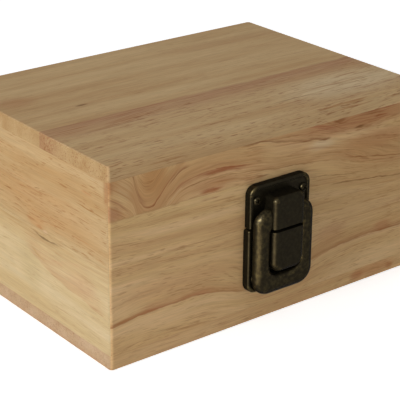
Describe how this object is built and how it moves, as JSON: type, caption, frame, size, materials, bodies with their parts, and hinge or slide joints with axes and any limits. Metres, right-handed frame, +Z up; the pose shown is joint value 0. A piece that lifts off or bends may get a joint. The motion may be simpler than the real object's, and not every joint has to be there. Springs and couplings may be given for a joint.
{
  "type": "hinged wooden keepsake box",
  "caption": "Rectangular wooden keepsake box with a hinged lid and a flip-ring hasp latch in dark antique bronze on its front.",
  "frame": {"origin": "centre of the flat underside of the box", "axes": "+X along the width, to the right of someone who faces the latch; +Z up; the latch is on the -Y side and the hinges on the +Y side"},
  "size_m": [0.2, 0.1582, 0.104],
  "materials": {
    "pale_wood": "sanded, clear matt oil",
    "tan_wood": "sanded, clear matt oil",
    "antique_bronze": "dark antique bronze plating, rubbed bright on the raised edges"
  },
  "bodies": {
    "base": {"bottom_panel": "tan_wood", "base_front_board": "tan_wood", "base_back_board": "tan_wood", "base_left_board": "pale_wood", "base_right_board": "pale_wood", "hinge_left_base_leaf": "antique_bronze", "hinge_left_pin": "antique_bronze", "hinge_left_base_screw_1": "antique_bronze", "hinge_left_base_screw_2": "antique_bronze", "hinge_right_base_leaf": "antique_bronze", "hinge_right_pin": "antique_bronze", "hinge_right_base_screw_1": "antique_bronze", "hinge_right_base_screw_2": "antique_bronze", "latch_lower_plate": "antique_bronze", "latch_lower_screw_1": "antique_bronze", "latch_lower_screw_2": "antique_bronze"},
    "lid": {"lid_front_board": "tan_wood", "lid_back_board": "tan_wood", "lid_left_board": "pale_wood", "lid_right_board": "pale_wood", "top_front_strip": "tan_wood", "top_middle_strip": "tan_wood", "top_back_strip": "tan_wood", "hinge_left_lid_leaf": "antique_bronze", "hinge_left_lid_screw_1": "antique_bronze", "hinge_left_lid_screw_2": "antique_bronze", "hinge_right_lid_leaf": "antique_bronze", "hinge_right_lid_screw_1": "antique_bronze", "hinge_right_lid_screw_2": "antique_bronze", "latch_upper_plate": "antique_bronze", "latch_upper_screw_1": "antique_bronze", "latch_upper_screw_2": "antique_bronze"},
    "latch_ring": {"latch_ring": "antique_bronze"}
  },
  "joints": [
    {"name": "lid_hinge", "type": "hinge", "parent": "base", "child": "lid", "pos_m": [0, 0.0733, 0.0525], "axis": [-1, 0, 0], "range_deg": [0, 180]},
    {"name": "ring_flip", "type": "hinge", "parent": "lid", "child": "latch_ring", "pos_m": [0, -0.0784, 0.061], "axis": [-1, 0, 0], "range_deg": [0, 170]}
  ]
}
